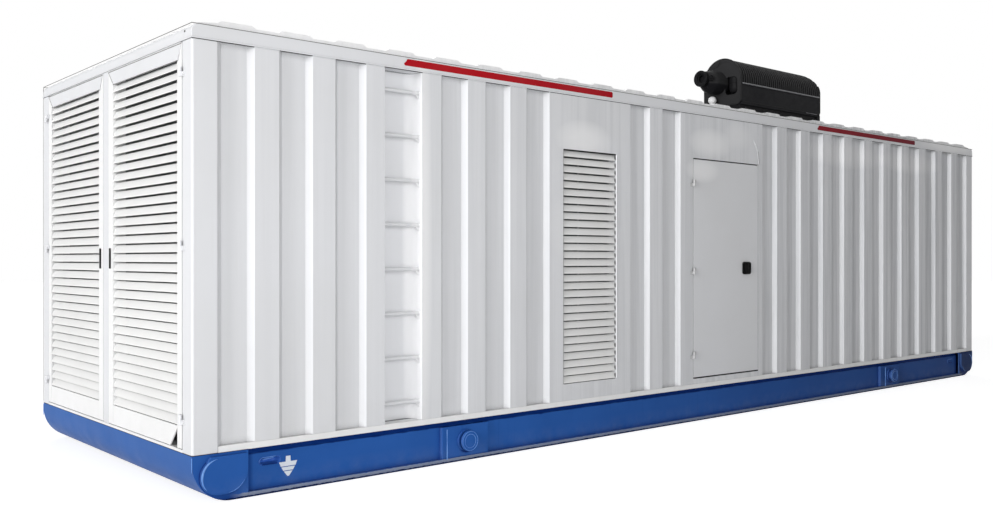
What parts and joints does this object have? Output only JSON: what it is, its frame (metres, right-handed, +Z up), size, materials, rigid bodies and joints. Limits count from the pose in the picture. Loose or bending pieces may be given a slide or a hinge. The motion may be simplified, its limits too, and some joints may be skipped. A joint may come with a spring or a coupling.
{
  "type": "containerised diesel generator set",
  "caption": "Walk-in sound enclosure of a diesel generator set on a blue skid base, with louvred end doors, a side door, a ladder recess and a roof silencer.",
  "frame": {"origin": "centre of the skid base's underside, on the ground", "axes": "+X along the length from the opening louvred doors to the far end, -Y towards the side with the ladder and the opening door, +Z up"},
  "size_m": [10.556, 3.04, 3.65],
  "materials": {
    "enclosure_white": "satin off-white enclosure paint",
    "white_fittings": "satin white paint on hinges and vent cap",
    "base_blue": "satin blue skid paint",
    "silencer_black": "matt black heat-resistant paint",
    "fittings_black": "satin black",
    "floor_plate": "grey painted floor plate"
  },
  "bodies": {
    "enclosure": {"base_side_rails": "base_blue", "base_ends": "base_blue", "cross_members": "base_blue", "lifting_lugs": "base_blue", "floor_deck": "floor_plate", "corner_posts": "enclosure_white", "top_side_rails": "enclosure_white", "top_end_rails": "enclosure_white", "bottom_side_rails": "enclosure_white", "end_sills": "enclosure_white", "front_wall_left": "enclosure_white", "ladder_recess": "enclosure_white", "ladder_rungs": "enclosure_white", "front_wall_middle": "enclosure_white", "front_louvre_panel": "enclosure_white", "front_louvre_blades": "enclosure_white", "front_wall_by_door": "enclosure_white", "door_post_left": "enclosure_white", "door_post_right": "enclosure_white", "door_head": "enclosure_white", "door_sill": "enclosure_white", "front_wall_right": "enclosure_white", "door_hinge_pins": "white_fittings", "left_mullion": "enclosure_white", "left_hinge_pins": "white_fittings", "rear_walls": "enclosure_white", "rear_louvre_panel": "enclosure_white", "rear_louvre_blades": "enclosure_white", "rear_door_surround": "enclosure_white", "rear_door": "enclosure_white", "rear_door_hinges": "white_fittings", "rear_door_latch": "fittings_black", "right_end_frame": "enclosure_white", "right_end_blades": "enclosure_white", "right_end_hinges": "white_fittings", "right_end_handles": "fittings_black", "roof_panel": "enclosure_white", "silencer_cradle": "silencer_black", "silencer_body": "silencer_black", "silencer_end_plates": "silencer_black", "outlet_cone": "silencer_black", "outlet_flange": "silencer_black", "roof_vent": "white_fittings"},
    "front_door_leaf": {"front_door": "enclosure_white", "door_latch": "fittings_black", "door_hinge_knuckles": "white_fittings"},
    "near_end_leaf": {"near_end_door": "enclosure_white", "near_end_blades": "enclosure_white", "near_end_handle": "fittings_black", "near_end_knuckles": "white_fittings"},
    "far_end_leaf": {"far_end_door": "enclosure_white", "far_end_blades": "enclosure_white", "far_end_handle": "fittings_black", "far_end_knuckles": "white_fittings"}
  },
  "joints": [
    {"name": "front_door_hinge", "type": "hinge", "parent": "enclosure", "child": "front_door_leaf", "pos_m": [-0.486, -1.488, 1.4], "axis": [0, 0, -1], "range_deg": [0, 105]},
    {"name": "near_end_door_hinge", "type": "hinge", "parent": "enclosure", "child": "near_end_leaf", "pos_m": [-5.268, -1.336, 1.565], "axis": [0, 0, 1], "range_deg": [0, 105]},
    {"name": "far_end_door_hinge", "type": "hinge", "parent": "enclosure", "child": "far_end_leaf", "pos_m": [-5.268, 1.336, 1.565], "axis": [0, 0, -1], "range_deg": [0, 105]}
  ]
}
